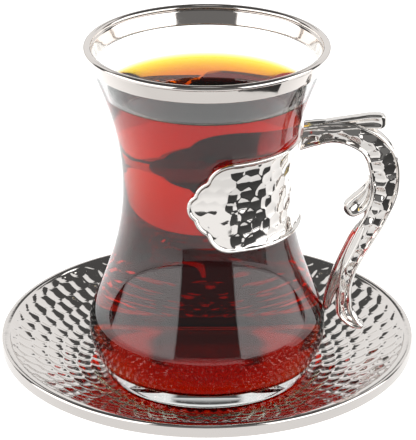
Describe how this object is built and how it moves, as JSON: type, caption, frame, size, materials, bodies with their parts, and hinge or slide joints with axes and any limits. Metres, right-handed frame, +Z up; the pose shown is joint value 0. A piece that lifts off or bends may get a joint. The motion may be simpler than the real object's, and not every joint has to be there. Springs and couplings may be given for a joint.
{
  "type": "turkish tea glass",
  "caption": "Waisted glass of black tea with a steel rim band, a hammered holder plate and cast S-shaped handle, standing on its hammered steel saucer.",
  "frame": {"origin": "centre of the saucer's underside, where it stands on the table", "axes": "+Z up along the axis of glass and saucer, +X toward the handle"},
  "size_m": [0.11, 0.11, 0.0921],
  "materials": {
    "saucer_steel": "polished, hammered in rings",
    "clear_glass": "clear, smooth, pressed and fire polished",
    "black_tea": "clear dark red liquid, amber where thin",
    "rim_steel": "polished sheet",
    "holder_metal": "polished, hammered, smooth raised border",
    "handle_metal": "polished casting with hammered faces"
  },
  "bodies": {
    "root": {"saucer": "saucer_steel", "glass": "clear_glass", "tea": "black_tea", "rim_band": "rim_steel", "holder_plate": "holder_metal", "handle": "handle_metal"}
  },
  "joints": []
}
